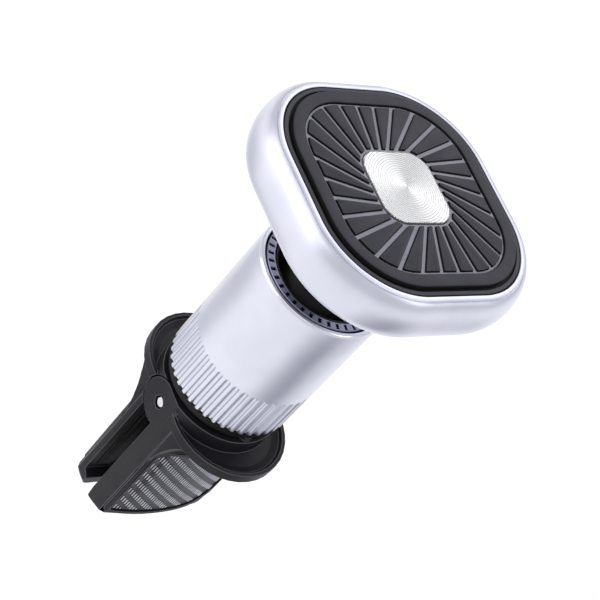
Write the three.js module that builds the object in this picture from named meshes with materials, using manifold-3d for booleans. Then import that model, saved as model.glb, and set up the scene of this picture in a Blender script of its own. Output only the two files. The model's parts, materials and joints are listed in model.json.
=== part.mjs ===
// Magnetic phone mount for a car air vent. Millimetres, +Z up.
// +Z runs along the barrel from the clip's tips to the phone face. The clip's hinge pin lies along X,
// the textured front jaw is on the -Y side, and the origin is on the barrel's axis, level with the tips.
import * as THREE from 'three';
import { mergeVertices } from 'three/addons/utils/BufferGeometryUtils.js';
import Module from 'manifold-3d';

const wasm = await Module();
wasm.setup();

// ---- driving dimensions ----------------------------------------------------------------------
const GAP = 0.3;                 // clearance between neighbouring pieces
const BARREL_R = 14;
const RIM_Z = 78;                // upper rim of the grip sleeve
const SLEEVE_LENGTH = 35;
const SLEEVE_WALL = 1.05;
const FLUTE_COUNT = 42;
const FLUTE_TOP_Z = 54.5;
const FLUTE_DEPTH = 0.5;
const STEM_R = 6;
const BORE_R = STEM_R + 0.4;     // bores that run on the threaded stem

const BALL_Z = 70;               // centre of the ball joint
const BALL_R = 8.5;
const SEAT_R = BALL_R + GAP;
const NECK_R = 4.2;
const CUP_R = 12.5;
const CUP_BORE_R = 10.3;
const CUP_TOP_Z = 74.6;

const FACE_Z = 104.7;            // metal edge of the head
const HEAD_BULGE = 2.45;
const HEAD_EDGE = 23.45;         // half the head's width at its face
const HEAD_CORNER_R = 16.75;
const HEAD_DEPTH = 10.6;
const POCKET_HALF = 22.9;        // the head's front pocket
const HEAD_BACK_Z = FACE_Z - HEAD_DEPTH;
const BACK_WALL = 2;
const POCKET_FLOOR_Z = HEAD_BACK_Z + BACK_WALL;
const MAGNET_COUNT = 6;
const MAGNET_R = 6.5;
const MAGNET_RING_R = 14.2;
const SPOKE_COUNT = 28;
const SPOKE_OFFSET = 4.5;        // each spoke is tangent to a circle of this radius
const SPOKE_WIDTH = 0.95;
const FIN_OUTER = 18.15;
const FIN_INNER = 8.55;
const PLATE_HALF = 7.9;

const PIN_Z = 34.4;              // hinge pin of the clip
const PIN_R = 1.1;
const PIN_HOLE_R = 1.35;
const JAW_HALF = 12.95;          // half the width of both jaws
const EAR_R = 5.2;
const EAR_IN = 10.5;
const KNUCKLE_IN = 7.3;
const KNUCKLE_OUT = 10.2;
const KNUCKLE_R = 4.2;
const TONGUE_HALF = 3;
const TONGUE_DEPTH = 2.6;          // half the tongue's thickness above the pin
const WING_TOP_Z = 37.1;
const WING_THICK = 2.3;
const WING_DISH = 1.3;
const WING_RIM = 0.8;            // flat width of the rim round a wing's bowl
const COLLAR_R = 13.6;           // raised land of both wings, under the pressure ring
const COLLAR_TOP_Z = 39.5;
const WING_FLOOR_R = 7;
const LOBE_R = 13.2;
const FRONT_LOBE_Y = 6.6;
const REAR_LOBE_Y = 6.1;
const JAW_CROWN = 1.8;           // how far the outer face of a jaw bows out
const JAW_CHAMFER = 0.7;
const FLARE_Z = 20;              // where a jaw's outer face starts to curve out into its wing
const NEAR_CORNER = 2;           // lower corners of the jaws, seen from the front: -X side and +X side
const FAR_CORNER = 9;
const PRESS_ARM = 11.5;          // where the pressure ring bears on a wing
const RING_LOW_Z = 40.6;
const RING_HIGH_Z = 42.7;

// ---- materials -------------------------------------------------------------------------------
const finish = (color, roughness, metalness) =>
  new THREE.MeshStandardMaterial({ color, roughness, metalness });
const SATIN = finish(0xd4d6e4, 0.32, 0.9);
const TURNED = finish(0xe6e6e4, 0.28, 1.0);
const GREY_METAL = finish(0x8f91a3, 0.4, 0.8);
const BLACK = finish(0x2c2b30, 0.5, 0.0);
const DARK_RUBBER = finish(0x3b3b42, 0.7, 0.0);
const GREY_RUBBER = finish(0x8c8b96, 0.7, 0.0);
const WEAVE = finish(0x6a6b76, 0.45, 0.2);
const STEEL = finish(0xb8bac0, 0.3, 1.0);
const NICKEL = finish(0xc6c6c2, 0.25, 1.0);
const BRASS = finish(0xb99a55, 0.35, 1.0);
const WHITE_RESIN = finish(0xd8d8d2, 0.5, 0.0);

// ---- solids ----------------------------------------------------------------------------------
function solid(geometry) {
  const bare = geometry.clone();
  bare.deleteAttribute('normal');
  bare.deleteAttribute('uv');
  const merged = mergeVertices(bare, 1e-5);
  return new wasm.Manifold(new wasm.Mesh({
    numProp: 3,
    vertProperties: Float32Array.from(merged.attributes.position.array),
    triVerts: Uint32Array.from(merged.index.array),
  }));
}

const joined = (pieces) => pieces.reduce((all, piece) => all.add(piece));

function shell(manifold) {
  const mesh = manifold.getMesh();
  const geometry = new THREE.BufferGeometry();
  geometry.setAttribute('position', new THREE.BufferAttribute(Float32Array.from(mesh.vertProperties), 3));
  geometry.setIndex(new THREE.BufferAttribute(Uint32Array.from(mesh.triVerts), 1));
  geometry.computeVertexNormals();
  return geometry;
}

function box(x0, x1, y0, y1, z0, z1) {
  const geometry = new THREE.BoxGeometry(x1 - x0, y1 - y0, z1 - z0);
  return solid(geometry.translate((x0 + x1) / 2, (y0 + y1) / 2, (z0 + z1) / 2));
}

// Turned about Z: profile is a list of [radius, z] that closes on itself, or starts and ends on the axis.
function turned(profile, segments = 32) {
  const points = profile.map(([r, z]) => new THREE.Vector2(r, z));
  const hollow = profile.every(([r]) => r > 0);
  if (hollow) points.push(points[0].clone());
  return solid(new THREE.LatheGeometry(points, segments).rotateX(Math.PI / 2));
}

function rod(radius, z0, z1, segments = 32) {
  return turned([[0, z0], [radius, z0], [radius, z1], [0, z1]], segments);
}

// Round bar along X through the hinge line.
function crossBar(radius, x0, x1, segments = 28) {
  const geometry = new THREE.CylinderGeometry(radius, radius, x1 - x0, segments);
  return solid(geometry.rotateZ(Math.PI / 2).translate((x0 + x1) / 2, 0, PIN_Z));
}

function raised(shape, z0, z1, curveSegments = 8) {
  const geometry = new THREE.ExtrudeGeometry(shape, { depth: z1 - z0, bevelEnabled: false, curveSegments });
  return solid(geometry.translate(0, 0, z0));
}

// Side outline given as [y, z] points, carried along X from x0 to x1.
function acrossX(points, x0, x1) {
  const shape = new THREE.Shape(points.map(([y, z]) => new THREE.Vector2(y, z)));
  const geometry = new THREE.ExtrudeGeometry(shape, { depth: x1 - x0, bevelEnabled: false });
  geometry.applyMatrix4(new THREE.Matrix4().makeBasis(
    new THREE.Vector3(0, 1, 0), new THREE.Vector3(0, 0, 1), new THREE.Vector3(1, 0, 0)));
  return solid(geometry.translate(x0, 0, 0));
}

// Front outline given in (x, z), carried along Y from y0 to y1.
function alongY(shape, y0, y1, curveSegments = 6) {
  const geometry = new THREE.ExtrudeGeometry(shape, { depth: y1 - y0, bevelEnabled: false, curveSegments });
  return solid(geometry.rotateX(Math.PI / 2).translate(0, y1, 0));
}

function roundedSquare(half, radius) {
  const shape = new THREE.Shape();
  const flat = half - radius;
  shape.moveTo(half, -flat);
  shape.lineTo(half, flat);
  shape.absarc(flat, flat, radius, 0, Math.PI / 2);
  shape.absarc(-flat, flat, radius, Math.PI / 2, Math.PI);
  shape.absarc(-flat, -flat, radius, Math.PI, 1.5 * Math.PI);
  shape.absarc(flat, -flat, radius, 1.5 * Math.PI, 2 * Math.PI);
  return shape;
}

const squarePrism = (half, radius, z0, z1) => raised(roundedSquare(half, radius), z0, z1, 6);

// ---- head ------------------------------------------------------------------------------------
function headHousing() {
  const bevel = (HEAD_DEPTH - 0.6) / 2;
  const outer = new THREE.ExtrudeGeometry(roundedSquare(HEAD_EDGE, HEAD_CORNER_R), {
    depth: 0.6, bevelThickness: bevel, bevelSize: HEAD_BULGE, bevelSegments: 4, curveSegments: 6,
  }).translate(0, 0, HEAD_BACK_Z + bevel);
  return solid(outer)
    .subtract(squarePrism(POCKET_HALF, HEAD_CORNER_R - 0.55, POCKET_FLOOR_Z, FACE_Z + 1))
    .subtract(rod(2.3, HEAD_BACK_Z - 1, POCKET_FLOOR_Z + 1));
}

const INSIDE_HALF = POCKET_HALF - 0.4;
const INSIDE_CORNER_R = HEAD_CORNER_R - 0.95;
const YOKE_Z = POCKET_FLOOR_Z + GAP;
const YOKE_THICK = 1.2;
const TRAY_Z = YOKE_Z + YOKE_THICK + GAP;
const TRAY_TOP_Z = 102;
const MAGNET_Z = TRAY_Z + 1;
const MAGNET_THICK = 2.8;
const PAD_Z = TRAY_TOP_Z + GAP;
const PAD_FLOOR_Z = 104.3;
const PAD_RING_Z = 105.5;
const FIN_TOP_Z = 105.42;
const INLAY_Z = PAD_FLOOR_Z + 0.08;
const INLAY_TOP_Z = 105;
const SCREW_CLEAR_R = 4.5;

function magnetCentres() {
  return Array.from({ length: MAGNET_COUNT }, (_, i) => {
    const angle = (i + 0.5) * 2 * Math.PI / MAGNET_COUNT;
    return [MAGNET_RING_R * Math.cos(angle), MAGNET_RING_R * Math.sin(angle)];
  });
}

const yokePlate = () => squarePrism(INSIDE_HALF, INSIDE_CORNER_R, YOKE_Z, YOKE_Z + YOKE_THICK)
  .subtract(rod(SCREW_CLEAR_R, YOKE_Z - 1, YOKE_Z + YOKE_THICK + 1));

function magnetTray() {
  const pockets = magnetCentres().map(([x, y]) =>
    rod(MAGNET_R + GAP, MAGNET_Z - GAP, TRAY_TOP_Z + 1, 20).translate([x, y, 0]));
  return squarePrism(INSIDE_HALF, INSIDE_CORNER_R, TRAY_Z, TRAY_TOP_Z)
    .subtract(rod(SCREW_CLEAR_R, TRAY_Z - 1, TRAY_TOP_Z + 1))
    .subtract(joined(pockets));
}

const magnet = ([x, y]) => rod(MAGNET_R, MAGNET_Z, MAGNET_Z + MAGNET_THICK, 20).translate([x, y, 0]);

// The raised fins between the swirled spokes, all grown by the same amount.
function finField(grow, z0, z1) {
  const field = squarePrism(FIN_OUTER + grow, 11.2 + grow, z0, z1)
    .subtract(squarePrism(FIN_INNER - grow, 4.8 - grow, z0 - 1, z1 + 1));
  const width = SPOKE_WIDTH - 2 * grow;
  const bars = Array.from({ length: SPOKE_COUNT }, (_, i) =>
    box(0, 40, SPOKE_OFFSET - width / 2, SPOKE_OFFSET + width / 2, z0 - 1, z1 + 1)
      .rotate([0, 0, (i + 0.5) * 360 / SPOKE_COUNT]));
  return field.subtract(joined(bars));
}

function facePad() {
  const base = squarePrism(POCKET_HALF - 0.2, HEAD_CORNER_R - 0.75, PAD_Z, PAD_FLOOR_Z);
  const ledge = squarePrism(POCKET_HALF - 0.2, HEAD_CORNER_R - 0.75, PAD_FLOOR_Z - 0.5, FACE_Z)
    .subtract(squarePrism(POCKET_HALF - 1, HEAD_CORNER_R - 1.5, PAD_FLOOR_Z, FACE_Z + 1));
  const ring = squarePrism(POCKET_HALF - 1.6, HEAD_CORNER_R - 2.1, PAD_FLOOR_Z - 0.5, PAD_RING_Z);
  const recess = squarePrism(18.75, 11.8, PAD_FLOOR_Z, PAD_RING_Z + 1);
  const platePocket = squarePrism(PLATE_HALF + 0.15, 4.35, PAD_FLOOR_Z - 0.2, PAD_RING_Z + 1);
  return base.add(ledge).add(ring).subtract(recess)
    .add(finField(0, PAD_FLOOR_Z - 0.4, FIN_TOP_Z)).subtract(platePocket);
}

const grooveInlay = () => squarePrism(18.6, 11.65, INLAY_Z, INLAY_TOP_Z)
  .subtract(squarePrism(PLATE_HALF + 0.15, 4.35, INLAY_Z - 1, INLAY_TOP_Z + 1))
  .subtract(finField(0.1, INLAY_Z - 1, INLAY_TOP_Z + 1));

const centrePlate = () => squarePrism(PLATE_HALF, 4.2, PAD_FLOOR_Z, PAD_FLOOR_Z + 1.1);

function neckScrew() {
  const socket = solid(new THREE.CylinderGeometry(1.7, 1.7, 3, 6).rotateX(Math.PI / 2)
    .translate(0, 0, YOKE_Z + 2.5));
  return turned([[0, 85], [2, 85], [2, YOKE_Z], [3.9, YOKE_Z], [3.9, YOKE_Z + 1.6], [3.3, YOKE_Z + 2.2],
    [0, YOKE_Z + 2.2]], 32).subtract(socket);
}

// ---- ball joint ------------------------------------------------------------------------------
const ballBody = () => solid(new THREE.SphereGeometry(BALL_R, 28, 14).rotateX(Math.PI / 2)
  .translate(0, 0, BALL_Z));

function ballStud() {
  const top = HEAD_BACK_Z - GAP;
  return turned([[0, BALL_Z + 6], [NECK_R, BALL_Z + 6], [NECK_R, top - 4.5], [5, top - 3],
    [7.5, top - 1.2], [7.5, top], [0, top]], 28)
    .subtract(solid(new THREE.SphereGeometry(SEAT_R, 28, 14).rotateX(Math.PI / 2).translate(0, 0, BALL_Z)))
    .subtract(rod(2.3, 83.5, top + 1));
}

const seatRadius = (z) => Math.sqrt(SEAT_R ** 2 - (z - BALL_Z) ** 2);

function seatArc(z0, z1, steps) {
  return Array.from({ length: steps + 1 }, (_, i) => {
    const z = z0 + (z1 - z0) * i / steps;
    return [seatRadius(z), z];
  });
}

const SEAT_OUT_R = CUP_BORE_R - 0.4;
const ballSeat = () => turned([[SEAT_OUT_R, 62.5], [SEAT_OUT_R, 69.4], ...seatArc(69.4, 62.5, 5)]);
const seatCushion = () => turned([[6, 61.2], [SEAT_OUT_R, 61.2], [SEAT_OUT_R, 62.2], [6, 62.2]]);
const ballRetainer = () => turned([[SEAT_OUT_R, 69.8], [SEAT_OUT_R, CUP_TOP_Z + GAP],
  [10.5, CUP_TOP_Z + GAP], [10.5, 77.7], [10.1, 77.7], ...seatArc(73.6, 69.8, 3)]);
const lockRing = () => turned([[10.8, CUP_TOP_Z + GAP], [12.6, CUP_TOP_Z + GAP], [12.6, 77.8], [12.3, 78],
  [11, 78], [10.8, 77.8]], 40);

// ---- core and grip sleeve --------------------------------------------------------------------
function corePost() {
  const post = turned([[0, 39.6], [STEM_R, 39.6], [STEM_R, 54.5], [CUP_R, 58.5], [CUP_R, CUP_TOP_Z],
    [CUP_BORE_R, CUP_TOP_Z], [CUP_BORE_R, 60.9], [0, 60.9]]);
  const tongue = box(-TONGUE_HALF, TONGUE_HALF, -TONGUE_DEPTH, TONGUE_DEPTH, PIN_Z, 40)
    .add(crossBar(3.2, -TONGUE_HALF, TONGUE_HALF));
  return post.add(tongue).subtract(crossBar(PIN_HOLE_R, -5, 5));
}

const SLEEVE_LOW_Z = RIM_Z - SLEEVE_LENGTH;
const SLEEVE_IN_R = BARREL_R - SLEEVE_WALL;

function flutedOutline() {
  const shape = new THREE.Shape();
  const step = 2 * Math.PI / FLUTE_COUNT;
  const corners = [[-0.5, 0], [-0.28, 0], [0, 1], [0.28, 0]];
  for (let i = 0; i < FLUTE_COUNT; i += 1) {
    for (const [across, depth] of corners) {
      const angle = (i + across) * step;
      const radius = BARREL_R - depth * FLUTE_DEPTH;
      const point = [radius * Math.cos(angle), radius * Math.sin(angle)];
      if (i === 0 && across === corners[0][0]) shape.moveTo(...point);
      else shape.lineTo(...point);
    }
  }
  return shape;
}

function gripSleeve() {
  const upper = turned([[0, FLUTE_TOP_Z], [BARREL_R, FLUTE_TOP_Z], [BARREL_R, RIM_Z - 0.4],
    [BARREL_R - 0.4, RIM_Z], [0, RIM_Z]], 60);
  const lower = raised(flutedOutline(), SLEEVE_LOW_Z, FLUTE_TOP_Z + 0.1);
  return upper.add(lower).subtract(rod(SLEEVE_IN_R, SLEEVE_LOW_Z - 1, RIM_Z + 1, 40));
}

const threadInsert = () => turned([[BORE_R, 44], [SLEEVE_IN_R - 0.3, 44], [SLEEVE_IN_R - 0.3, 53],
  [BORE_R, 53]]);
const thrustWasher = () => turned([[BORE_R, 43], [12, 43], [12, 43.7], [BORE_R, 43.7]]);
const pressureRing = () => turned([[BORE_R, RING_LOW_Z], [12.9, RING_LOW_Z], [13.3, RING_LOW_Z + 0.5],
  [13.3, RING_HIGH_Z], [BORE_R, RING_HIGH_Z]]);

// ---- clip ------------------------------------------------------------------------------------
const lobeY = (side) => (side < 0 ? -FRONT_LOBE_Y : REAR_LOBE_Y);

// A jaw's wing, for side = -1 (front) or +1 (rear): a lobe hollowed into a shallow bowl, with a land
// under the pressure ring and a boss that the ring bears on.
function wing(side) {
  const low = WING_TOP_Z - WING_THICK;
  const keep = side < 0 ? box(-30, 30, -30, -0.8, 0, 60) : box(-30, 30, 0.8, 30, 0, 60);
  const bowl = turned([[0, WING_TOP_Z - WING_DISH], [WING_FLOOR_R, WING_TOP_Z - WING_DISH],
    [LOBE_R - 2.8, WING_TOP_Z - 0.8 * WING_DISH], [LOBE_R - 1.3, WING_TOP_Z - 0.45 * WING_DISH],
    [LOBE_R - WING_RIM, WING_TOP_Z], [LOBE_R - WING_RIM, WING_TOP_Z + 1], [0, WING_TOP_Z + 1]], 36);
  const land = rod(COLLAR_R, low + 0.5, COLLAR_TOP_Z, 40).subtract(rod(9.8, low, COLLAR_TOP_Z + 1, 24))
    .intersect(box(-JAW_HALF, JAW_HALF, -30, 30, 0, 60));
  const boss = rod(1.6, low + 0.5, RING_LOW_Z - GAP, 16).translate([0, side * PRESS_ARM, 0]);
  return rod(LOBE_R, low, WING_TOP_Z, 36).subtract(bowl).translate([0, lobeY(side), 0])
    .add(land).add(boss).intersect(keep)
    .subtract(rod(7.6, 20, 60, 28));
}

// Plan of a jaw with its outer face bowed by JAW_CROWN and its long edges chamfered, as a prism along Z.
function crownedPrism(side, edgeY, shrink = 0) {
  const radius = (JAW_HALF ** 2 + JAW_CROWN ** 2) / (2 * JAW_CROWN) - shrink;
  const centre = edgeY + JAW_CROWN - (JAW_HALF ** 2 + JAW_CROWN ** 2) / (2 * JAW_CROWN);
  const steps = 12;
  const inner = JAW_HALF - JAW_CHAMFER;
  const shape = new THREE.Shape();
  shape.moveTo(-JAW_HALF, -side * 30);
  shape.lineTo(-JAW_HALF, side * (edgeY - JAW_CHAMFER));
  for (let i = 0; i <= steps; i += 1) {
    const x = -inner + 2 * inner * i / steps;
    shape.lineTo(x, side * (centre + Math.sqrt(radius ** 2 - x ** 2)));
  }
  shape.lineTo(JAW_HALF, side * (edgeY - JAW_CHAMFER));
  shape.lineTo(JAW_HALF, -side * 30);
  return raised(shape, -5, 60);
}

// What a jaw may fill above its crowned face: the outer line curves out into the wing's underside,
// inside the wing's round outline.
function flare(side, edgeY) {
  const start = new THREE.Vector2(edgeY - JAW_CHAMFER, FLARE_Z);
  const bend = new THREE.Vector2(edgeY - JAW_CHAMFER + 1.2, WING_TOP_Z - WING_THICK - 1);
  const end = new THREE.Vector2(LOBE_R, WING_TOP_Z - 0.5 * WING_THICK);
  const curve = new THREE.QuadraticBezierCurve(start, bend, end);
  const line = curve.getPoints(9).map((point) => [side * point.x, point.y]);
  const outline = [[0, FLARE_Z], ...line, [side * LOBE_R, 60], [0, 60]];
  return acrossX(side < 0 ? outline.reverse() : outline, -JAW_HALF, JAW_HALF)
    .intersect(rod(LOBE_R - 0.3, 0, 60, 36).translate([0, lobeY(side), 0]));
}

// Leaf-shaped field on a jaw's outer face, in (x, z).
function leaf(inset) {
  const side = 11.9 - inset;
  const low = 5 + inset;
  const high = 27.6 - inset;
  const far = FAR_CORNER - 1.5;
  const shape = new THREE.Shape();
  shape.moveTo(-side + 1, low);
  shape.lineTo(side - far, low);
  shape.quadraticCurveTo(side, low, side, low + far);
  shape.lineTo(side, high - 3);
  shape.quadraticCurveTo(side, high, side - 3, high);
  shape.lineTo(-side + 3, high);
  shape.quadraticCurveTo(-side, high, -side, high - 3);
  shape.lineTo(-side, low + 1);
  shape.quadraticCurveTo(-side, low, -side + 1, low);
  return shape;
}

// Rounds the two lower corners of a jaw, seen from the front.
function jawFront() {
  const shape = new THREE.Shape();
  shape.moveTo(-JAW_HALF, 60);
  shape.lineTo(-JAW_HALF, NEAR_CORNER);
  shape.quadraticCurveTo(-JAW_HALF, 0, -JAW_HALF + NEAR_CORNER, 0);
  shape.lineTo(JAW_HALF - FAR_CORNER, 0);
  shape.quadraticCurveTo(JAW_HALF, 0, JAW_HALF, FAR_CORNER);
  shape.lineTo(JAW_HALF, 60);
  return alongY(shape, -30, 30);
}

const PANEL_DEPTH = 0.9;
const LIP_WIDTH = 0.85;          // raised lip round the panel
const LIP_HEIGHT = 0.3;
const FRONT_EDGE_Y = 7.6;
const REAR_EDGE_Y = 5.2;
const PAD_LOW_Z = 5;
const PAD_HIGH_Z = 27;
const PAD_HALF = 11;

const leafField = (side, inset) => (side < 0 ? alongY(leaf(inset), -30, -2) : alongY(leaf(inset), 2, 30));

const panelPocket = (side, edgeY) => leafField(side, 0)
  .subtract(crownedPrism(side, edgeY, PANEL_DEPTH + 0.1));

const gripPanel = (side, edgeY) => leafField(side, 0.2)
  .intersect(crownedPrism(side, edgeY, 0.15))
  .subtract(crownedPrism(side, edgeY, PANEL_DEPTH));

// Room that an arm may fill, seen in plan and from the front.
const armRoom = (side, edgeY) => crownedPrism(side, edgeY)
  .add(leafField(side, -LIP_WIDTH).intersect(crownedPrism(side, edgeY, -LIP_HEIGHT)))
  .add(flare(side, edgeY))
  .intersect(jawFront());

function frontJaw() {
  const arm = acrossX([[-1.8, 38], [-1.8, 4.4], [-2.1, 0.9], [-10.5, 4.6], [-13, 33], [-13, 35.6],
    [-5, 36], [-5, 38]], -JAW_HALF, JAW_HALF)
    .intersect(armRoom(-1, FRONT_EDGE_Y));
  const shoulders = box(-JAW_HALF, -EAR_IN, -9, -0.8, PIN_Z, COLLAR_TOP_Z)
    .add(box(EAR_IN, JAW_HALF, -9, -0.8, PIN_Z, COLLAR_TOP_Z))
    .intersect(rod(COLLAR_R, 20, 60, 40));
  const ears = crossBar(EAR_R, -JAW_HALF, -EAR_IN).add(crossBar(EAR_R, EAR_IN, JAW_HALF)).add(shoulders);
  return arm
    .subtract(crossBar(4.9, -EAR_IN, EAR_IN))
    .add(wing(-1))
    .subtract(crossBar(4.9, -EAR_IN, EAR_IN))
    .add(ears)
    .subtract(crossBar(PIN_HOLE_R, -20, 20))
    .subtract(box(-PAD_HALF, PAD_HALF, -3.3, 0, PAD_LOW_Z, PAD_HIGH_Z))
    .subtract(panelPocket(-1, FRONT_EDGE_Y));
}

function rearJaw() {
  const arm = acrossX([[2.9, 36], [2.9, 3.8], [0.9, 2.7], [1.1, 0], [7.5, 2.6], [13, 33], [13, 35.6],
    [5, 36]], -JAW_HALF, JAW_HALF)
    .intersect(armRoom(1, REAR_EDGE_Y));
  const knuckleSides = [[-KNUCKLE_OUT, -KNUCKLE_IN], [KNUCKLE_IN, KNUCKLE_OUT]];
  const knuckles = knuckleSides.map(([x0, x1]) =>
    crossBar(KNUCKLE_R, x0, x1).add(box(x0, x1, 0, 5, PIN_Z - 4.2, PIN_Z + 2.3)));
  const earRoom = crossBar(EAR_R + GAP, -20, -KNUCKLE_OUT).add(crossBar(EAR_R + GAP, KNUCKLE_OUT, 20));
  return arm.add(wing(1))
    .subtract(crossBar(4.9, -KNUCKLE_OUT, KNUCKLE_OUT))
    .subtract(earRoom)
    .add(joined(knuckles))
    .subtract(crossBar(PIN_HOLE_R, -20, 20))
    .subtract(box(-PAD_HALF, PAD_HALF, 0, 3.7, PAD_LOW_Z, PAD_HIGH_Z))
    .subtract(panelPocket(1, REAR_EDGE_Y));
}

// Ribbed rubber pad inside a jaw: backY is its back face and faceY its ribbed face.
function innerPad(backY, faceY) {
  const ribs = 5;
  const half = PAD_HALF - 0.3;
  const rib = Math.sign(faceY - backY) * 0.35;
  const shape = new THREE.Shape();
  shape.moveTo(-half, backY);
  shape.lineTo(-half, faceY - rib);
  for (let i = 0; i < ribs; i += 1) {
    const x = -half + 2 * half * (i + 0.5) / ribs;
    shape.lineTo(x - 1.3, faceY - rib);
    shape.lineTo(x - 0.9, faceY);
    shape.lineTo(x + 0.9, faceY);
    shape.lineTo(x + 1.3, faceY - rib);
  }
  shape.lineTo(half, faceY - rib);
  shape.lineTo(half, backY);
  return raised(shape, PAD_LOW_Z + 0.3, PAD_HIGH_Z - 0.3);
}

const hingePin = () => crossBar(PIN_R, -JAW_HALF + 0.35, JAW_HALF - 0.35, 20);

// Torsion spring on the pin between the tongue and a rear knuckle; both legs hang down.
function hingeSpring(side) {
  const coilR = 2.7;
  const wireR = 0.45;
  const turns = 2.5;
  const steps = 26;
  const points = [new THREE.Vector3(3.9, -0.4, 25.5), new THREE.Vector3(3.9, -0.9, 29)];
  for (let i = 0; i <= steps; i += 1) {
    const angle = Math.PI - 2 * Math.PI * turns * i / steps;
    points.push(new THREE.Vector3(3.9 + 2.6 * i / steps, coilR * Math.cos(angle),
      PIN_Z + coilR * Math.sin(angle)));
  }
  points.push(new THREE.Vector3(6.5, 1.6, 29), new THREE.Vector3(6.5, 1.2, 25.5));
  const section = new THREE.Shape().absarc(0, 0, wireR, 0, 2 * Math.PI);
  const path = new THREE.CatmullRomCurve3(points);
  const geometry = new THREE.ExtrudeGeometry(section, { steps: 34, extrudePath: path, curveSegments: 3 });
  const spring = solid(geometry);
  return side < 0 ? spring.mirror([1, 0, 0]) : spring;
}

// ---- assembly --------------------------------------------------------------------------------
const mount = new THREE.Group();

function place(name, manifold, material) {
  const mesh = new THREE.Mesh(shell(manifold), material);
  mesh.name = name;
  mount.add(mesh);
}

place('head_housing', headHousing(), SATIN);
place('yoke_plate', yokePlate(), STEEL);
place('magnet_tray', magnetTray(), BLACK);
magnetCentres().forEach((centre, i) => place(`magnet_${i + 1}`, magnet(centre), NICKEL));
place('face_pad', facePad(), DARK_RUBBER);
place('groove_inlay', grooveInlay(), GREY_RUBBER);
place('centre_plate', centrePlate(), TURNED);
place('neck_screw', neckScrew(), STEEL);
place('ball', ballBody(), BLACK);
place('ball_stud', ballStud(), BLACK);
place('ball_seat', ballSeat(), WHITE_RESIN);
place('seat_cushion', seatCushion(), DARK_RUBBER);
place('ball_retainer', ballRetainer(), BLACK);
place('lock_ring', lockRing(), GREY_METAL);
place('core_post', corePost(), BLACK);
place('grip_sleeve', gripSleeve(), SATIN);
place('thread_insert', threadInsert(), BRASS);
place('thrust_washer', thrustWasher(), WHITE_RESIN);
place('pressure_ring', pressureRing(), BLACK);
place('front_jaw', frontJaw(), BLACK);
place('rear_jaw', rearJaw(), BLACK);
place('front_inner_pad', innerPad(-3.2, -1.95), DARK_RUBBER);
place('rear_inner_pad', innerPad(3.6, 2.5), DARK_RUBBER);
place('front_grip_panel', gripPanel(-1, FRONT_EDGE_Y), WEAVE);
place('rear_grip_panel', gripPanel(1, REAR_EDGE_Y), WEAVE);
place('hinge_pin', hingePin(), STEEL);
place('left_hinge_spring', hingeSpring(-1), STEEL);
place('right_hinge_spring', hingeSpring(1), STEEL);

export default mount;
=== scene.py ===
"""Magnetic phone mount for a car vent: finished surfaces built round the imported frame.

Shapes are worked out in millimetres and scaled once, when a piece is finished.
+Z runs along the barrel to the phone face, and the clip's hinge pin lies along X.
"""

import json
import math

import bmesh
import bpy
from mathutils import Matrix, Vector


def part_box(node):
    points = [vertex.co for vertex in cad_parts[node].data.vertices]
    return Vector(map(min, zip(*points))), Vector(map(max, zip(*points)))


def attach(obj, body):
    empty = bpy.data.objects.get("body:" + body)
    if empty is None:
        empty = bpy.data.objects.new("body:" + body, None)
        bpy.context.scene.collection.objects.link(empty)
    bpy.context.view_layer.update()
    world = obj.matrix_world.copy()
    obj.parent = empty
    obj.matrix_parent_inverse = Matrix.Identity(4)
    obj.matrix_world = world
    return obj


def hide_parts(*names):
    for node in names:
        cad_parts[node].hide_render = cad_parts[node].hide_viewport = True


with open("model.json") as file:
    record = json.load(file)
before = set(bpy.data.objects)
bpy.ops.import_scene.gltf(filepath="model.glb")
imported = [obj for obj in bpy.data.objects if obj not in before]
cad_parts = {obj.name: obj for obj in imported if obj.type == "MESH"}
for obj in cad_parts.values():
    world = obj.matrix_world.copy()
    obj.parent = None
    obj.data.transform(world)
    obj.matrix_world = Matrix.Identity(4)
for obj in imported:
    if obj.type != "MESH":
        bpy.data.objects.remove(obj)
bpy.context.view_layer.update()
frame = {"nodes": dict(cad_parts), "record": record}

MM = 0.001


def span(node):
    """Lowest and highest corner of a frame node, in millimetres."""
    low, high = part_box(node)
    return low / MM, high / MM


# ---- sizes taken from the frame ---------------------------------------------------------------
SLEEVE_LOW, SLEEVE_HIGH = span("grip_sleeve")
HEAD_LOW, HEAD_HIGH = span("head_housing")
PAD_LOW, PAD_HIGH = span("face_pad")
PLATE_LOW, PLATE_HIGH = span("centre_plate")
RING_LOW, RING_HIGH = span("lock_ring")
RETAINER_LOW, RETAINER_HIGH = span("ball_retainer")
STUD_TOP_Z = span("ball_stud")[1].z
BALL_LOW, BALL_HIGH = span("ball")
PRESSURE_LOW, PRESSURE_HIGH = span("pressure_ring")
PIN_LOW, PIN_HIGH = span("hinge_pin")

BARREL_R = SLEEVE_HIGH.x
RIM_Z = SLEEVE_HIGH.z
SLEEVE_WALL = 1.05
FLUTE_COUNT = 42
FLUTE_HALF = 0.66
FLUTE_DEPTH = 0.5
FLUTE_TOP_Z = 54.6

FACE_Z = HEAD_HIGH.z
HEAD_EDGE = 23.45
HEAD_BULGE = HEAD_HIGH.x - HEAD_EDGE
HEAD_CORNER = 16.75
POCKET_HALF = 22.9
POCKET_FLOOR_Z = HEAD_LOW.z + 2

PAD_FLOOR_Z = PLATE_LOW.z
FIN_COUNT = 28
FIN_OUTER = 18.15
FIN_OUTER_CORNER = 11.2
FIN_INNER = 8.55
FIN_INNER_CORNER = 4.8
FIN_ROOT = 0.3
FIN_DROP = 0.1
FIN_CORNER_ROUNDING = 0.32
FIN_RIM_ROUNDING = 0.1
SPOKE_OFFSET = 4.5
SPOKE_WIDTH = 0.95
PLATE_HALF = PLATE_HIGH.x
PLATE_CORNER = 4.2

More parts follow.
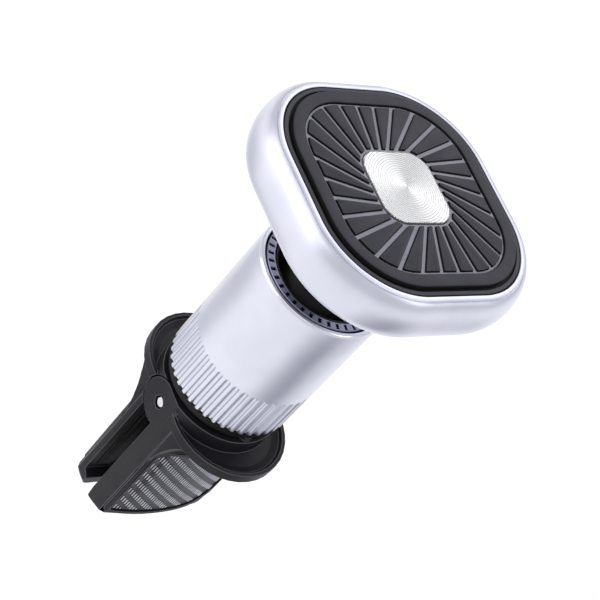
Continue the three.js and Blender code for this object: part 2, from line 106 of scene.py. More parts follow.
JAW_HALF = 12.95
JAW_CROWN = 1.8
JAW_WELD = 0.08
EDGE_ROUNDING = 0.15
TWILL_SLOPE = -0.87
TWILL_PERIOD = 3.3

BALL_Z = (BALL_LOW.z + BALL_HIGH.z) / 2
BALL_R = BALL_HIGH.z - BALL_Z
PIN_Z = (PIN_LOW.z + PIN_HIGH.z) / 2
PIN_R = PIN_HIGH.z - PIN_Z
BALL_CLEARANCE = 0.3


# ---- materials --------------------------------------------------------------------------------
class Signal:
    """A node's output. Arithmetic on it adds Math nodes to its material."""

    def __init__(self, finish, socket):
        self.finish = finish
        self.socket = socket

    def math(self, operation, *values):
        return self.finish.add("Math", {"operation": operation}, dict(enumerate(values)))

    def __add__(self, other):
        return self.math("ADD", self, other)

    def __radd__(self, other):
        return self.math("ADD", other, self)

    def __sub__(self, other):
        return self.math("SUBTRACT", self, other)

    def __rsub__(self, other):
        return self.math("SUBTRACT", other, self)

    def __mul__(self, other):
        return self.math("MULTIPLY", self, other)

    def __rmul__(self, other):
        return self.math("MULTIPLY", other, self)

    def __truediv__(self, other):
        return self.math("DIVIDE", self, other)

    def wave(self):
        return self.math("SINE", self)

    def root(self):
        return self.math("SQRT", self)

    def bearing(self, y):
        return self.math("ARCTAN2", y, self)

    def ramp(self, low, high):
        """0 at low, 1 at high, eased between."""
        settings = {"interpolation_type": "SMOOTHSTEP"}
        return self.finish.add("MapRange", settings, {"Value": self, "From Min": low, "From Max": high})


class Finish:
    """A material with one Principled shader, and what its pattern is made from."""

    def __init__(self, name, metallic=0.0, **constants):
        self.material = bpy.data.materials.new(name)
        self.material.use_nodes = True
        self.tree = self.material.node_tree
        self.shader = self.tree.nodes["Principled BSDF"]
        self.feed(self.shader.inputs["Metallic"], metallic)
        for key, value in constants.items():
            self.feed(self.shader.inputs[key.replace("_", " ")], value)
        self.place = self.add("TexCoord", output="Object")

    def add(self, kind, settings=None, values=None, output=0):
        """Adds a node: its settings first, then the values or links of its inputs."""
        node = self.tree.nodes.new("ShaderNode" + kind)
        for key, value in (settings or {}).items():
            setattr(node, key, value)
        for key, value in (values or {}).items():
            self.feed(node.inputs[key], value)
        return Signal(self, node.outputs[output])

    def feed(self, socket, value):
        if isinstance(value, Signal):
            self.tree.links.new(value.socket, socket)
        else:
            socket.default_value = value

    def mix(self, factor, low, high):
        return self.add("Mix", {"data_type": "RGBA"}, {0: factor, 6: low, 7: high}, output=2)

    def noise(self, size, detail=2.0):
        """Cloudy pattern whose lumps are about size millimetres across."""
        values = {"Vector": self.place, "Scale": 1 / (size * MM), "Detail": detail}
        return self.add("TexNoise", None, values)

    def along(self, vector, direction):
        """The length of a vector's share along a direction."""
        inputs = {0: vector, 1: direction}
        return self.add("VectorMath", {"operation": "DOT_PRODUCT"}, inputs, output="Value")

    def axis(self, letter):
        """The object coordinate along one axis, in millimetres."""
        return self.add("SeparateXYZ", None, {0: self.place}, output=letter) / MM

    def surface(self, colour, roughness, height=None, relief=0.0):
        """Colour, roughness and a height pattern that stands relief millimetres proud."""
        self.feed(self.shader.inputs["Base Color"], colour)
        self.feed(self.shader.inputs["Roughness"], roughness)
        if height is not None:
            bump = self.add("Bump", None, {"Height": height, "Distance": relief * MM, "Strength": 1.0})
            self.feed(self.shader.inputs["Normal"], bump)
        return self.material


def tint(red, green=None, blue=None):
    """An opaque colour; a channel that is left out follows the one before it."""
    green = red if green is None else green
    return (red, green, green if blue is None else blue, 1.0)


def satin_aluminium(name, fluted=False):
    """Bead-blasted and anodised; in flutes, painted shade darkens the colour on their walls."""
    finish = Finish(name, metallic=0.88)
    blast = finish.noise(0.14)
    cloud = finish.noise(9.0)
    colour = finish.mix(cloud.ramp(0.3, 0.7), tint(0.73, 0.74, 0.825), tint(0.78, 0.79, 0.87))
    if fluted:
        x, y = finish.axis("X"), finish.axis("Y")
        # Painted shade: the colour darkens on the flute walls, where the radius falls inside the barrel.
        depth = (x * x + y * y).root().ramp(BARREL_R - 0.02, BARREL_R - FLUTE_DEPTH)
        wall = (depth * math.pi).wave()
        colour = finish.mix(0.62 * wall, colour, tint(0.20, 0.21, 0.30))
    return finish.surface(colour, 0.30 + 0.06 * blast, blast, 0.003)


def polished_edge():
    finish = Finish("diamond cut edge", metallic=0.95)
    tool = finish.noise(0.3)
    colour = finish.mix(tool, tint(0.90, 0.90, 0.96), tint(0.97, 0.97, 1.0))
    return finish.surface(colour, 0.14 + 0.05 * tool)


def turned_plate():
    """Fine rings from a facing tool, wobbling a little, with painted fans of sheen in the colour."""
    finish = Finish("turned aluminium plate", metallic=0.9)
    x, y = finish.axis("X"), finish.axis("Y")
    radius = (x * x + y * y).root()
    wobble = finish.noise(2.4)
    ring = (radius * (math.tau / 0.5) + 3.0 * wobble).wave()
    # Painted sheen: light and dark fans by bearing round the centre, as a turned face throws them.
    painted_sheen_fan = (x.bearing(y) * 2 + 2.3).wave()
    grain = finish.noise(0.1)
    shade = 0.4 + 0.2 * ring + 0.2 * grain + 0.3 * painted_sheen_fan
    colour = finish.mix(shade, tint(0.55, 0.55, 0.545), tint(0.97, 0.97, 0.96))
    return finish.surface(colour, 0.26 + 0.1 * grain, ring, 0.03)


def grey_ring():
    finish = Finish("satin grey ring", metallic=0.85)
    blast = finish.noise(0.12)
    # Painted shade: more than 0.35 mm below the sleeve's rim the ring is near black, which darkens the
    # slot floors.
    slot_floor_shade = finish.axis("Z").ramp(RIM_Z - 0.35, RIM_Z - 0.08)
    colour = finish.mix(slot_floor_shade, tint(0.012, 0.012, 0.025), tint(0.31, 0.32, 0.42))
    return finish.surface(colour, 0.34 + 0.08 * blast, blast, 0.004)


def moulded_black(name, low, high, roughness):
    """Glass-filled nylon with a fine spark-eroded grain."""
    finish = Finish(name, Specular_IOR_Level=0.2)
    spark = finish.noise(0.16, 3.0)
    flow = finish.noise(7.0)
    shade = 0.6 * flow.ramp(0.3, 0.7) + 0.4 * spark
    colour = finish.mix(shade, low, high)
    return finish.surface(colour, roughness + 0.1 * spark, spark, 0.010)


def moulded_rubber(name, low, high, roughness, relief=0.012):
    finish = Finish(name, Specular_IOR_Level=0.25)
    grain = finish.noise(0.22, 3.0)
    bloom = finish.noise(5.0)
    shade = 0.5 * grain + 0.5 * bloom.ramp(0.35, 0.7)
    colour = finish.mix(shade, low, high)
    return finish.surface(colour, roughness + 0.08 * grain, grain, relief)


def bright_metal(name, low, high, roughness):
    """Plated or turned metal: faint streaks and a few dull patches."""
    finish = Finish(name, metallic=1.0)
    streak = finish.noise(0.25, 4.0)
    patch = finish.noise(2.5)
    colour = finish.mix(0.5 * streak + 0.5 * patch, low, high)
    return finish.surface(colour, roughness + 0.12 * patch, streak, 0.004)


def woven_ground():
    """Dark cloth whose lighter bands run between the columns of warp floats."""
    finish = Finish("twill ground", Specular_IOR_Level=0.3)
    across = (finish.axis("Z") - TWILL_SLOPE * finish.axis("X")) * (math.tau / TWILL_PERIOD)
    band = (across - math.pi / 2).wave().ramp(-0.35, 0.6)
    thread = (finish.axis("Z") * (math.tau / 0.36)).wave()
    fibre = finish.noise(0.12, 3.0)
    light = finish.mix(fibre, tint(0.035, 0.035, 0.042), tint(0.075, 0.075, 0.088))
    colour = finish.mix(band, tint(0.006), light)
    return finish.surface(colour, 0.42 + 0.1 * fibre, 0.7 * thread + 0.3 * fibre, 0.025)


SATIN = satin_aluminium("satin anodised aluminium")
FLUTE_SHADED_SATIN = satin_aluminium("satin fluted aluminium, painted flute shade", fluted=True)
EDGE = polished_edge()
TURNED = turned_plate()
GREY_RING = grey_ring()
BLACK = moulded_black("black nylon", tint(0.010, 0.0098, 0.012), tint(0.018, 0.0175, 0.021), 0.40)
# Painted highlight: a lighter copy of the black nylon for the rounded jaw edges.
EDGE_HIGHLIGHT_BLACK = moulded_black("black nylon, painted edge highlight",
                           tint(0.060, 0.059, 0.068), tint(0.095, 0.093, 0.105), 0.30)
DEEP_BLACK = moulded_black("black acetal", tint(0.004), tint(0.008), 0.38)
RUBBER = moulded_rubber("charcoal silicone",
                        tint(0.030, 0.030, 0.039), tint(0.044, 0.043, 0.055), 0.5)
LEDGE = moulded_rubber("charcoal silicone lip",
                       tint(0.050, 0.050, 0.060), tint(0.066, 0.065, 0.078), 0.5)
RIB_RUBBER = moulded_rubber("black silicone", tint(0.008), tint(0.018), 0.55)
SHADED_WALL_RUBBER = moulded_rubber("silicone, painted wall shade", tint(0.003), tint(0.007), 0.65)
GREY_RUBBER = moulded_rubber("grey silicone",
                             tint(0.30, 0.295, 0.345), tint(0.38, 0.375, 0.43), 0.6)
WARP = moulded_rubber("light warp thread",
                      tint(0.36, 0.36, 0.41), tint(0.62, 0.62, 0.67), 0.4, 0.02)
WEFT = woven_ground()
STEEL = bright_metal("zinc plated steel", tint(0.66, 0.66, 0.69), tint(0.86, 0.86, 0.88), 0.18)
NICKEL = bright_metal("nickel plate", tint(0.60, 0.59, 0.56), tint(0.74, 0.73, 0.69), 0.16)
BRASS = bright_metal("turned brass", tint(0.55, 0.38, 0.13), tint(0.75, 0.56, 0.24), 0.22)
RESIN = moulded_rubber("natural acetal", tint(0.66, 0.66, 0.62), tint(0.76, 0.76, 0.72), 0.4, 0.006)

SLOT_FINISH = {
    "satin_shell": SATIN, "turned_plate": TURNED, "grey_ring": GREY_RING, "black_plastic": BLACK,
    "dark_rubber": RUBBER, "grey_rubber": GREY_RUBBER, "woven_panel": WEFT, "plated_steel": STEEL,
    "nickel": NICKEL, "brass": BRASS, "white_resin": RESIN,
}
SLOT_OF = {part["node"]: part["material_slot"] for part in frame["record"]["subparts"]}
BODY_OF = {node: body for body, nodes in frame["record"]["behaviour"]["bodies"].items() for node in nodes}


# ---- shaping ----------------------------------------------------------------------------------
def turned(profile, steps=128):
    """Spins a list of (radius, z) about Z. It closes on itself, or starts and ends on the axis."""
    bm = bmesh.new()
    verts = [bm.verts.new((r, 0, z)) for r, z in profile]
    pairs = list(zip(verts, verts[1:]))
    if profile[0][0] > 0:
        pairs.append((verts[-1], verts[0]))
    edges = [bm.edges.new(pair) for pair in pairs]
    bmesh.ops.spin(bm, geom=verts + edges, axis=(0, 0, 1), cent=(0, 0, 0), angle=math.tau,
                   steps=steps, use_merge=True)
    bmesh.ops.remove_doubles(bm, verts=bm.verts, dist=1e-4)
    return bm


def arc(centre_r, centre_z, radius, start, end):
    """Points of a round stretch in a (radius, z) profile, angles in degrees from outwards."""
    steps = 8
    angles = [math.radians(start + (end - start) * i / steps) for i in range(steps + 1)]
    return [(centre_r + radius * math.cos(a), centre_z + radius * math.sin(a)) for a in angles]


def square_point(half, corner, z, share):
    """The point a share of the way round a rounded square."""
    flat = half - corner
    quarter = 2 * flat + math.pi * corner / 2
    turn, along = divmod(share * 4 * quarter, quarter)
    if along < 2 * flat:
        point = Vector((half, along - flat, z))
    else:
        angle = (along - 2 * flat) / corner
        point = Vector((flat + corner * math.cos(angle), flat + corner * math.sin(angle), z))
    return Matrix.Rotation(turn * math.pi / 2, 3, "Z") @ point


def square_loft(levels, count=160, teeth=0.0):
    """Skins rounded squares given as (half, corner, z), and caps the first and the last."""
    bm = bmesh.new()
    loops = []
    for level in levels:
        verts = bmesh.ops.create_circle(bm, segments=count, radius=1)["verts"]
        for i, vert in enumerate(verts):
            vert.co = square_point(*level, i / count)
            if teeth and i % 2:
                vert.co.xy *= 1 - teeth / level[0]
        loops.append(list({edge for vert in verts for edge in vert.link_edges}))
    for edges in (loops[0], loops[-1]):
        bmesh.ops.contextual_create(bm, geom=edges)
    for low, high in zip(loops, loops[1:]):
        bmesh.ops.bridge_loops(bm, edges=low + high)
    return bm


def eased(half, corner, z, radius, outward=1):
    """Levels of a rounded top edge; outward is -1 on a wall that faces inwards."""
    steps = 4
    levels = []
    for i in range(steps + 1):
        angle = math.pi / 2 * i / steps
        inset = radius * (1 - math.cos(angle))
        rise = radius * (1 - math.sin(angle))
        levels.append((half - outward * inset, corner - outward * inset, z - rise))
    return levels


def block(bm, centre, size):
    """Adds a box to bm."""
    matrix = Matrix.Translation(centre) @ Matrix.Diagonal((*size, 1))
    return bmesh.ops.create_cube(bm, size=1, matrix=matrix)["verts"]


def refined(node, weld=2e-3):
    """A merged copy of a frame node, in millimetres, with its flat faces whole."""
    bm = bmesh.new()
    bm.from_mesh(frame["nodes"][node].data)
    bmesh.ops.scale(bm, vec=(1 / MM,) * 3, verts=bm.verts)
    bmesh.ops.remove_doubles(bm, verts=bm.verts, dist=weld)
    bmesh.ops.dissolve_limit(bm, angle_limit=math.radians(0.6), verts=bm.verts, edges=bm.edges)
    return bm


def complete(name, bm, finishes, node, bevel=0.0, sharp=32, edge_finish=None):
    """Turns a shape into a piece that stands for a frame node and rides with it.

    edge_finish is the number of the finish on the rounded edges. Such edges aren't held back
    where they crowd each other, because there they would shrink to nothing.
    """
    bmesh.ops.scale(bm, vec=(MM,) * 3, verts=bm.verts)
    bmesh.ops.recalc_face_normals(bm, faces=bm.faces)
    mesh = bpy.data.meshes.new(name)
    bm.to_mesh(mesh)
    bm.free()
    for face in mesh.polygons:
        face.use_smooth = True
    mesh.set_sharp_from_angle(angle=math.radians(sharp))
    piece = bpy.data.objects.new(name, mesh)
    bpy.context.scene.collection.objects.link(piece)
    for finish in finishes:
        mesh.materials.append(finish)
    if bevel:
        rounding = piece.modifiers.new("edge rounding", "BEVEL")
        rounding.width = bevel * MM
        rounding.segments = 2
        rounding.limit_method = "ANGLE"
        rounding.angle_limit = math.radians(sharp)
        rounding.harden_normals = True
        if edge_finish is not None:
            rounding.material = edge_finish
            rounding.use_clamp_overlap = False
    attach(piece, BODY_OF[node])
    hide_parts(node)
    return piece


# ---- head -------------------------------------------------------------------------------------
def head_shell():
    """Pillowed body with a bright cut edge round a deep front pocket."""
    middle = (HEAD_LOW.z + FACE_Z) / 2
    rise = (FACE_Z - HEAD_LOW.z) / 2
    steps, start, sweep = 26, -90, 163
    levels = []
    for i in range(steps + 1):
        angle = math.radians(start + sweep * i / steps)
        out = HEAD_BULGE * math.cos(angle)
        levels.append((HEAD_EDGE + out, HEAD_CORNER + out, middle + rise * math.sin(angle)))
    # The cut edge: how far out from the shell's edge and how far below the face.
    edge = [(0.54, 0.40), (0.46, 0.40), (0.42, 0.10), (0.34, 0.05), (-0.42, 0.0), (-0.52, 0.08)]
    levels += [(HEAD_EDGE + out, HEAD_CORNER + out, FACE_Z - drop) for out, drop in edge]
    levels.append((POCKET_HALF, HEAD_CORNER - 0.55, POCKET_FLOOR_Z))
    bm = square_loft(levels, 192)
    bm.normal_update()
    for face in bm.faces:
        centre = face.calc_center_median()
        if centre.z > FACE_Z - 0.09 and face.normal.z > 0.8:
            face.material_index = 1
    complete("head_shell", bm, [SATIN, EDGE], "head_housing")


def fin(index):
    """One raised fin: a ring of the face cut by the two spokes beside it."""
    bm = bmesh.new()
    loops = []
    count = 160
    for half, corner in ((FIN_OUTER, FIN_OUTER_CORNER), (FIN_INNER, FIN_INNER_CORNER)):
        verts = bmesh.ops.create_circle(bm, segments=count, radius=1)["verts"]
        for i, vert in enumerate(verts):
            vert.co = square_point(half, corner, PAD_FLOOR_Z - FIN_ROOT, i / count)
        loops += list({edge for vert in verts for edge in vert.link_edges})
    bmesh.ops.bridge_loops(bm, edges=loops)
    for step, side in ((0.5, 1), (1.5, -1)):
        angle = math.tau * (index + step) / FIN_COUNT
        normal = Vector((-math.sin(angle), math.cos(angle), 0))
        offset = SPOKE_OFFSET + side * SPOKE_WIDTH / 2
        geom = bm.verts[:] + bm.edges[:] + bm.faces[:]
        bmesh.ops.bisect_plane(bm, geom=geom, dist=1e-4, plane_co=normal * offset,
                               plane_no=normal * side, clear_inner=True)
    bmesh.ops.dissolve_faces(bm, faces=bm.faces)
    tops = bmesh.ops.extrude_face_region(bm, geom=bm.faces[:])["geom"]
    lifted = [g for g in tops if isinstance(g, bmesh.types.BMVert)]
    bmesh.ops.translate(bm, verts=lifted, vec=(0, 0, PAD_HIGH.z - FIN_DROP - PAD_FLOOR_Z + FIN_ROOT))
    bm.normal_update()
    uprights = [e for e in bm.edges if abs(e.verts[0].co.z - e.verts[1].co.z) > 0.5
                and e.calc_face_angle(0) > 0.6]
    bmesh.ops.bevel(bm, geom=uprights, offset=FIN_CORNER_ROUNDING, segments=3, affect="EDGES",
                    profile=0.5, material=-1)
    bm.normal_update()
    top = max(v.co.z for v in bm.verts)
    rims = [e for e in bm.edges if e.calc_face_angle(0) > 0.7
            and min(v.co.z for v in e.verts) > top - 0.01]
    bmesh.ops.bevel(bm, geom=rims, offset=FIN_RIM_ROUNDING, segments=2, affect="EDGES",
                    profile=0.5, material=-1)
    return bm


def face_pad():
    """Rubber face: low ledge, raised ring, sunk field, and the swirl of fins."""
    ring_top = PAD_HIGH.z
    levels = [(22.7, 16.0, PAD_LOW.z), *eased(22.7, 16.0, FACE_Z, 0.2)]
    levels += [(21.95, 15.3, FACE_Z), (21.9, 15.25, FACE_Z - 0.06), (21.9, 15.25, PAD_FLOOR_Z)]
    levels += [(21.3, 14.65, PAD_FLOOR_Z), *eased(21.3, 14.65, ring_top, 0.25)]
    levels += [*reversed(eased(18.75, 11.8, ring_top, 0.2, -1)), (18.75, 11.8, PAD_FLOOR_Z)]
    bm = square_loft(levels, 192)
    for index in range(FIN_COUNT):
        part = bpy.data.meshes.new("fin")
        shape = fin(index)
        shape.to_mesh(part)
        shape.free()
        bm.from_mesh(part)
        bpy.data.meshes.remove(part)
    bm.normal_update()
    for face in bm.faces:
        centre = face.calc_center_median()
        # Painted shade: upright walls and faces at the floor level, such as the channel at the ring's
        # foot, take a near-black copy of the rubber.
        if abs(face.normal.z) < 0.5 or centre.z < PAD_FLOOR_Z + 0.05:
            face.material_index = 1
        elif abs(centre.z - FACE_Z) < 0.05:
            face.material_index = 2
    complete("face_pad_ribbed", bm, [RUBBER, SHADED_WALL_RUBBER, LEDGE], "face_pad")


def centre_plate():
    """Turned aluminium badge plate, blank, with a finely toothed edge."""
    levels = [(PLATE_HALF, PLATE_CORNER, PLATE_LOW.z),
              *eased(PLATE_HALF, PLATE_CORNER, PLATE_HIGH.z, 0.16)]
    bm = square_loft(levels, 200, teeth=0.14)
    complete("centre_plate_turned", bm, [TURNED], "centre_plate", sharp=50)


# ---- ball joint -------------------------------------------------------------------------------
def ball_joint():
    ball = bmesh.new()
    bmesh.ops.create_uvsphere(ball, u_segments=72, v_segments=40, radius=BALL_R,
                              matrix=Matrix.Translation((0, 0, BALL_Z)))
    complete("ball_turned", ball, [DEEP_BLACK], "ball")

    top = STUD_TOP_Z
    seat = BALL_R + BALL_CLEARANCE
    neck, tip = 4.2, 2.0
    foot = BALL_Z + math.sqrt(seat ** 2 - neck ** 2)
    stud = [(0, BALL_Z + seat), (tip, BALL_Z + math.sqrt(seat ** 2 - tip ** 2)),
            (neck, foot), (neck, top - 5)]
    stud += arc(neck + 2.4, top - 4.6, 2.4, 180, 115)
    stud += [(7.3, top - 1.3), (7.5, top - 1.1), (7.5, top), (0, top)]
    complete("ball_stud_turned", turned(stud, 96), [DEEP_BLACK], "ball_stud", bevel=0.1)

    mouth = RETAINER_HIGH.z
    wall = 9.9
    retainer = [(wall, RETAINER_LOW.z), (wall, RING_LOW.z), (10.5, RING_LOW.z),
                (10.5, mouth - 0.12), (10.38, mouth), (10.15, mouth), (10.0, mouth - 0.15),
                (8.12, 73.75), (8.0, 73.5)]
    cup_heights = (72.6, 71.7, 70.7, RETAINER_LOW.z)
    retainer += [(math.sqrt(seat ** 2 - (z - BALL_Z) ** 2), z) for z in cup_heights]
    complete("ball_retainer_funnel", turned(retainer), [DEEP_BLACK], "ball_retainer")


def lock_ring():
    """Grey ring with fine radial slots for the spanner that tightens it."""
    slots, columns, slot_columns, slot_depth = 38, 9, 3, 0.45
    inner, outer, top, low = 10.8, RING_HIGH.x, RING_HIGH.z, RING_LOW.z
    slot_in, slot_out = 11.15, 12.3
    profile = [(outer, low), (outer, top - 0.3), (outer - 0.12, top - 0.08), (outer - 0.2, top),
               (slot_out + 0.04, top), (slot_out, top), (slot_in, top), (slot_in - 0.04, top),
               (inner + 0.08, top), (inner, top - 0.1), (inner, low)]
    bm = turned(profile, slots * columns)
    step = math.tau / (slots * columns)
    for vert in bm.verts:
        radius = vert.co.xy.length
        column = round(math.atan2(vert.co.y, vert.co.x) / step) % columns
        in_slot = slot_in - 0.01 < radius < slot_out + 0.01 and column < slot_columns
        if in_slot and vert.co.z > top - 1e-3:
            vert.co.z -= slot_depth
    complete("lock_ring_slotted", bm, [GREY_RING], "lock_ring")


# ---- grip sleeve ------------------------------------------------------------------------------
def grip_sleeve():
    """Satin sleeve with round-ended flutes that run out at its lower edge."""
    inner = BARREL_R - SLEEVE_WALL
    low, high = SLEEVE_LOW.z, RIM_Z
    end_z = FLUTE_TOP_Z - FLUTE_HALF
    heights = [low + 0.25, low + 1.2, low + 4, end_z - 1.0, end_z - 0.2]
    heights += [end_z + 0.11 * i for i in range(9)]
    heights += [FLUTE_TOP_Z + 0.6, FLUTE_TOP_Z + 4, high - 8, high - 0.55]
    profile = [(inner, low), (BARREL_R - 0.25, low), *[(BARREL_R, z) for z in heights]]
    profile += [(BARREL_R - 0.04, high - 0.38), (BARREL_R - 0.38, high - 0.04),
                (BARREL_R - 0.46, high), (inner + 0.1, high), (inner, high - 0.1)]
    columns, hollow = 14, 2.6
    bm = turned(profile, FLUTE_COUNT * columns)
    pitch = math.tau / FLUTE_COUNT
    for vert in bm.verts:
        radius = vert.co.xy.length
        if radius < BARREL_R - 0.3 or vert.co.z > FLUTE_TOP_Z + 0.1:
            continue
        angle = math.atan2(vert.co.y, vert.co.x)
        across = (angle / pitch - round(angle / pitch)) * pitch * BARREL_R
        away = math.hypot(across, max(0.0, vert.co.z - end_z)) / FLUTE_HALF
        if away < 1:
            vert.co.xy *= 1 - FLUTE_DEPTH * (1 - away ** hollow) / radius
    bm.normal_update()
    for face in bm.faces:
        centre = face.calc_center_median()
        if centre.z > high - 0.36 and centre.xy.length > BARREL_R - 0.4:
            face.material_index = 1
    complete("grip_sleeve_fluted", bm, [FLUTE_SHADED_SATIN, EDGE], "grip_sleeve", sharp=40)


def pressure_ring():
    """The ring below the flutes that pushes on both wings."""
    inner, outer = 6.4, PRESSURE_HIGH.x
    low, high = PRESSURE_LOW.z, PRESSURE_HIGH.z
    profile = [(inner, low), (outer - 0.4, low), (outer, low + 0.5), (outer, high - 0.15),
               (outer - 0.15, high), (inner, high)]
    complete("pressure_ring_moulded", turned(profile), [DEEP_BLACK], "pressure_ring", bevel=0.1)


# ---- clip -------------------------------------------------------------------------------------
def jaws():
    """Both jaws, a painted highlight on their rounded edges, and the ribbed pads between them."""
    for side in ("front", "rear"):
        jaw, pad = f"{side}_jaw", f"{side}_inner_pad"
        complete(f"{jaw}_moulded", refined(jaw, JAW_WELD), [BLACK, EDGE_HIGHLIGHT_BLACK], jaw,
                 bevel=EDGE_ROUNDING, edge_finish=1)
        complete(f"{pad}_ribbed", refined(pad), [RIB_RUBBER], pad, bevel=EDGE_ROUNDING)


def leaf_reach(x):
    """Lowest and highest z of a jaw's woven leaf at x; its lower corner on the +X side is rounded."""
    edge, low, high, corner, shoulder = 11.7, 5.2, 27.4, 7.5, 3.0
    if x > edge - corner:
        low += corner * (1 - math.sqrt((edge - x) / corner)) ** 2
    if abs(x) > edge - shoulder:
        high -= shoulder * (1 - math.sqrt((edge - abs(x)) / shoulder)) ** 2
    return low, high


def woven_panel(side, name):
    """Twill cloth under a clear skin: a dark ground with floats of lighter warp thread."""
    bm = refined(name)
    low, high = span(name)
    outer_y = -low.y if side < 0 else high.y
    radius = (JAW_HALF ** 2 + JAW_CROWN ** 2) / (2 * JAW_CROWN)
    pitch, width, thick, length = 0.74, 0.40, 0.15, 1.65
    margin, shortest, softened = 0.3, 0.35, 0.06
    columns, rows = range(-15, 16), range(-6, 16)
    for column in columns:
        x = column * pitch
        bottom, top = leaf_reach(x)
        y = side * (outer_y - radius + math.sqrt(radius ** 2 - x ** 2))
        for row in rows:
            centre = row * TWILL_PERIOD + TWILL_SLOPE * x
            start = max(centre - length / 2, bottom + margin)
            end = min(centre + length / 2, top - margin)
            if end - start < shortest:
                continue
            verts = block(bm, (x, y, (start + end) / 2), (width, thick, end - start))
            faces = {face for vert in verts for face in vert.link_faces}
            for face in faces:
                face.material_index = 1
            edges = list({edge for vert in verts for edge in vert.link_edges})
            bmesh.ops.bevel(bm, geom=edges, offset=softened, segments=1, affect="EDGES",
                            profile=0.5, material=-1)
    complete(f"{name}_woven", bm, [WEFT, WARP], name)


def hinge_pin():
    bm = bmesh.new()
    turn = Matrix.Translation((0, 0, PIN_Z)) @ Matrix.Rotation(math.pi / 2, 4, "Y")
    bmesh.ops.create_cone(bm, cap_ends=True, segments=48, radius1=PIN_R, radius2=PIN_R,
                          depth=PIN_HIGH.x - PIN_LOW.x, matrix=turn)
    complete("hinge_pin_bright", bm, [STEEL], "hinge_pin", bevel=0.2)


def inner_pieces():
    """Everything that the covers hide keeps its frame shape and wears the finish of its slot."""
    names = ["yoke_plate", "magnet_tray", "neck_screw", "ball_seat", "seat_cushion", "core_post",
             "thread_insert", "thrust_washer", "left_hinge_spring", "right_hinge_spring", "groove_inlay"]
    names += [name for name in frame["nodes"] if name.startswith("magnet_") and name != "magnet_tray"]
    for name in names:
        complete(f"{name}_finished", refined(name), [SLOT_FINISH[SLOT_OF[name]]], name)


# ---- stage ------------------------------------------------------------------------------------
CAMERA_PLACE = Vector((-217.25, -141.58, 285.76)) * MM
CAMERA_RIGHT = Vector((0.7657137, -0.37580966, 0.52196707))
CAMERA_UP = Vector((0.02148661, 0.82603261, 0.56321262))
CAMERA_BACK = CAMERA_RIGHT.cross(CAMERA_UP)
AIM = Vector((0, 0, 0.06))
MIRROR_OF_VIEW = Vector((0.32, 0.21, 0.36))
FLOOR_Z = -0.05
FLOOR_RADIUS = 6
TONES_FADE_OUT = 430.0
TONES_FULL = 190.0
# Grey tones of painted shade on the floor, which the satin metal mirrors: direction, cosines where the
# tone is full and where it ends, the way out of the clear floor with the two places in millimetres
# between which the tone sets in, and its depth. An empty list makes the floor plain.
TONES = [((0.16, -0.99, 0.0), 0.995, 0.86, (0, -1, 0), 45.0, 105.0, 0.52),
         ((0.70, -0.71, 0.0), 0.96, 0.62, (0, -1, 0), 45.0, 105.0, 0.34),
         ((-0.17, 0.98, 0.0), 0.97, 0.66, (-0.944, 0.33, 0), 12.0, 55.0, 0.42)]


def camera():
    lens = bpy.data.cameras.new("camera")
    lens.lens = 106.69
    lens.sensor_width = 36
    lens.clip_start = 0.01
    holder = bpy.data.objects.new("camera", lens)
    axes = Matrix((CAMERA_RIGHT, CAMERA_UP, CAMERA_BACK)).transposed()
    holder.matrix_world = Matrix.Translation(CAMERA_PLACE) @ axes.to_4x4()
    bpy.context.scene.collection.objects.link(holder)
    bpy.context.scene.camera = holder


def from_camera(right, up, back):
    """A way from the object, given in the camera's directions."""
    return CAMERA_RIGHT * right + CAMERA_UP * up + CAMERA_BACK * back


def softbox(name, way, width, height, watts):
    """A rectangular lamp that stands a way off the object and is aimed at it."""
    lamp = bpy.data.lights.new(name, "AREA")
    lamp.shape = "RECTANGLE"
    lamp.size = width
    lamp.size_y = height
    lamp.energy = watts
    holder = bpy.data.objects.new(name, lamp)
    place = AIM + way
    holder.location = place
    holder.rotation_mode = "QUATERNION"
    holder.rotation_quaternion = (AIM - place).to_track_quat("-Z", "Y")
    bpy.context.scene.collection.objects.link(holder)


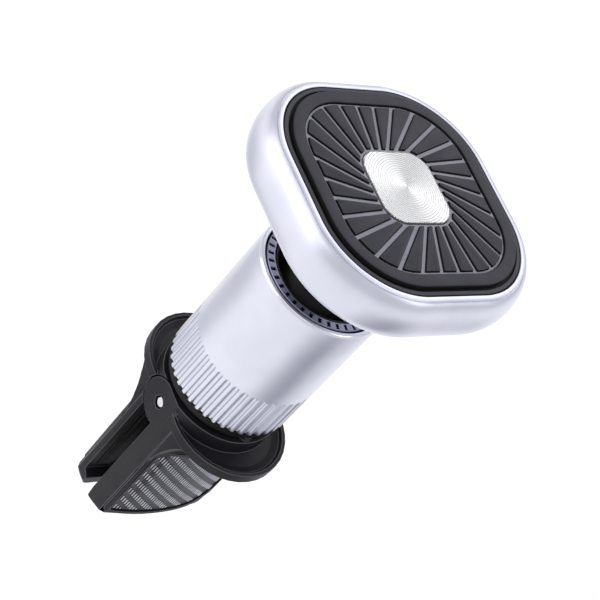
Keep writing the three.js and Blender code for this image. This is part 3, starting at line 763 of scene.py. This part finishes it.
def floor():
    """Pale paper, with painted shade in the places that the satin metal mirrors."""
    bpy.ops.mesh.primitive_circle_add(vertices=64, radius=FLOOR_RADIUS, fill_type="NGON",
                                      location=(0, 0, FLOOR_Z))
    sheet = bpy.context.object
    sheet.name = "floor"
    paper = Finish("white paper")
    toward = paper.add("VectorMath", {"operation": "NORMALIZE"}, {0: paper.place})
    distance = paper.add("VectorMath", {"operation": "LENGTH"}, {0: paper.place}, output="Value")
    near = (distance / MM).ramp(TONES_FADE_OUT, TONES_FULL)
    light = 1.0
    for direction, narrow, wide, out, start, end, depth in TONES:
        facing = paper.along(toward, direction)
        clear = paper.along(paper.place, out) / MM
        light = light - depth * near * facing.ramp(wide, narrow) * clear.ramp(start, end)
    paper.surface(paper.mix(light, tint(0.0, 0.0, 0.04), tint(0.62)), 0.9)
    glow = paper.mix(light, tint(0.0, 0.0, 0.05), tint(1.0))
    paper.feed(paper.shader.inputs["Emission Color"], glow)
    paper.feed(paper.shader.inputs["Emission Strength"], 0.52)
    sheet.data.materials.append(paper.material)


def studio_light():
    softbox("key", from_camera(-0.38, 0.34, 0.35), width=0.62, height=0.62, watts=1.1)
    softbox("fill", from_camera(0.42, 0.05, 0.25), width=0.18, height=0.5, watts=0.3)
    softbox("overhead", MIRROR_OF_VIEW, width=0.42, height=0.42, watts=0.52)
    world = bpy.data.worlds.new("studio")
    world.use_nodes = True
    sky = world.node_tree.nodes["Background"]
    sky.inputs["Color"].default_value = (0.90, 0.905, 0.96, 1)
    sky.inputs["Strength"].default_value = 0.7
    bpy.context.scene.world = world
    bpy.context.scene.view_settings.view_transform = "Standard"


# The frame's own parts wear the finish of their slot.
for node, slot_name in SLOT_OF.items():
    frame["nodes"][node].material_slots[0].material = SLOT_FINISH[slot_name]

camera()
floor()
studio_light()
head_shell()
face_pad()
centre_plate()
ball_joint()
lock_ring()
grip_sleeve()
pressure_ring()
jaws()
woven_panel(-1, "front_grip_panel")
woven_panel(1, "rear_grip_panel")
hinge_pin()
inner_pieces()
